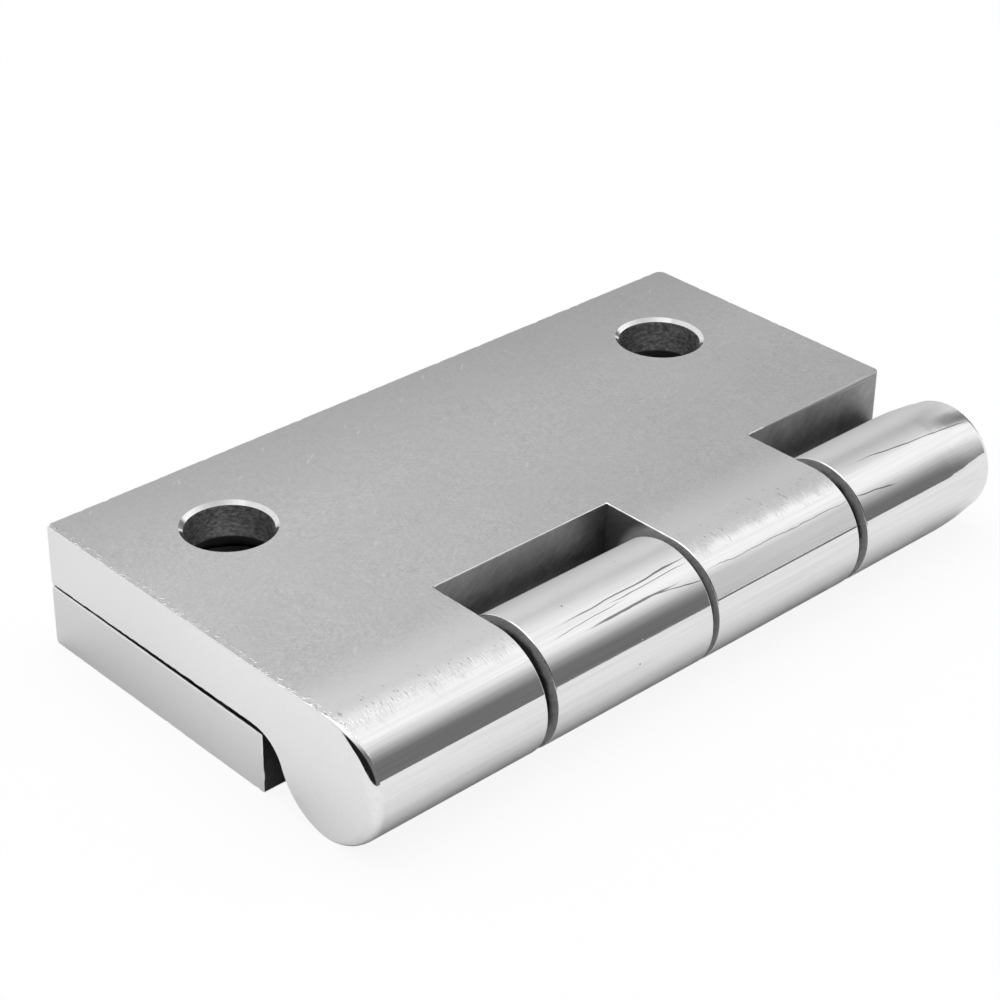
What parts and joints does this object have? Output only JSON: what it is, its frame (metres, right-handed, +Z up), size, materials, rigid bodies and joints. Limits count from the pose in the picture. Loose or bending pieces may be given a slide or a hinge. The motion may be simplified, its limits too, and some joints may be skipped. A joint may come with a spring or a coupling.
{
  "type": "deck hinge",
  "caption": "Thick cast butt hinge with interleaved round knuckles and countersunk screw holes, joining a hatch, lid or door to a deck or frame.",
  "frame": {"origin": "middle of the surface that the shut hinge lies on, under the middle of its outline", "axes": "+X along the pin from the closed first knuckle to the rounded last knuckle, +Y from the pin to the free edges of the leaves, +Z up from the lower leaf to the upper leaf"},
  "size_m": [0.0772, 0.0434, 0.012],
  "materials": {
    "leaf_steel": "hand-polished cast stainless steel: satin faces, mirror-bright knuckles",
    "pin_steel": "ground round bar"
  },
  "bodies": {
    "fixed_leaf": {"lower_leaf": "leaf_steel", "hinge_pin": "pin_steel"},
    "moving_leaf": {"upper_leaf": "leaf_steel"}
  },
  "joints": [
    {"name": "leaf_swing", "type": "hinge", "parent": "fixed_leaf", "child": "moving_leaf", "pos_m": [0, -0.01575, 0.006], "axis": [1, 0, 0], "range_deg": [0, 270]}
  ]
}
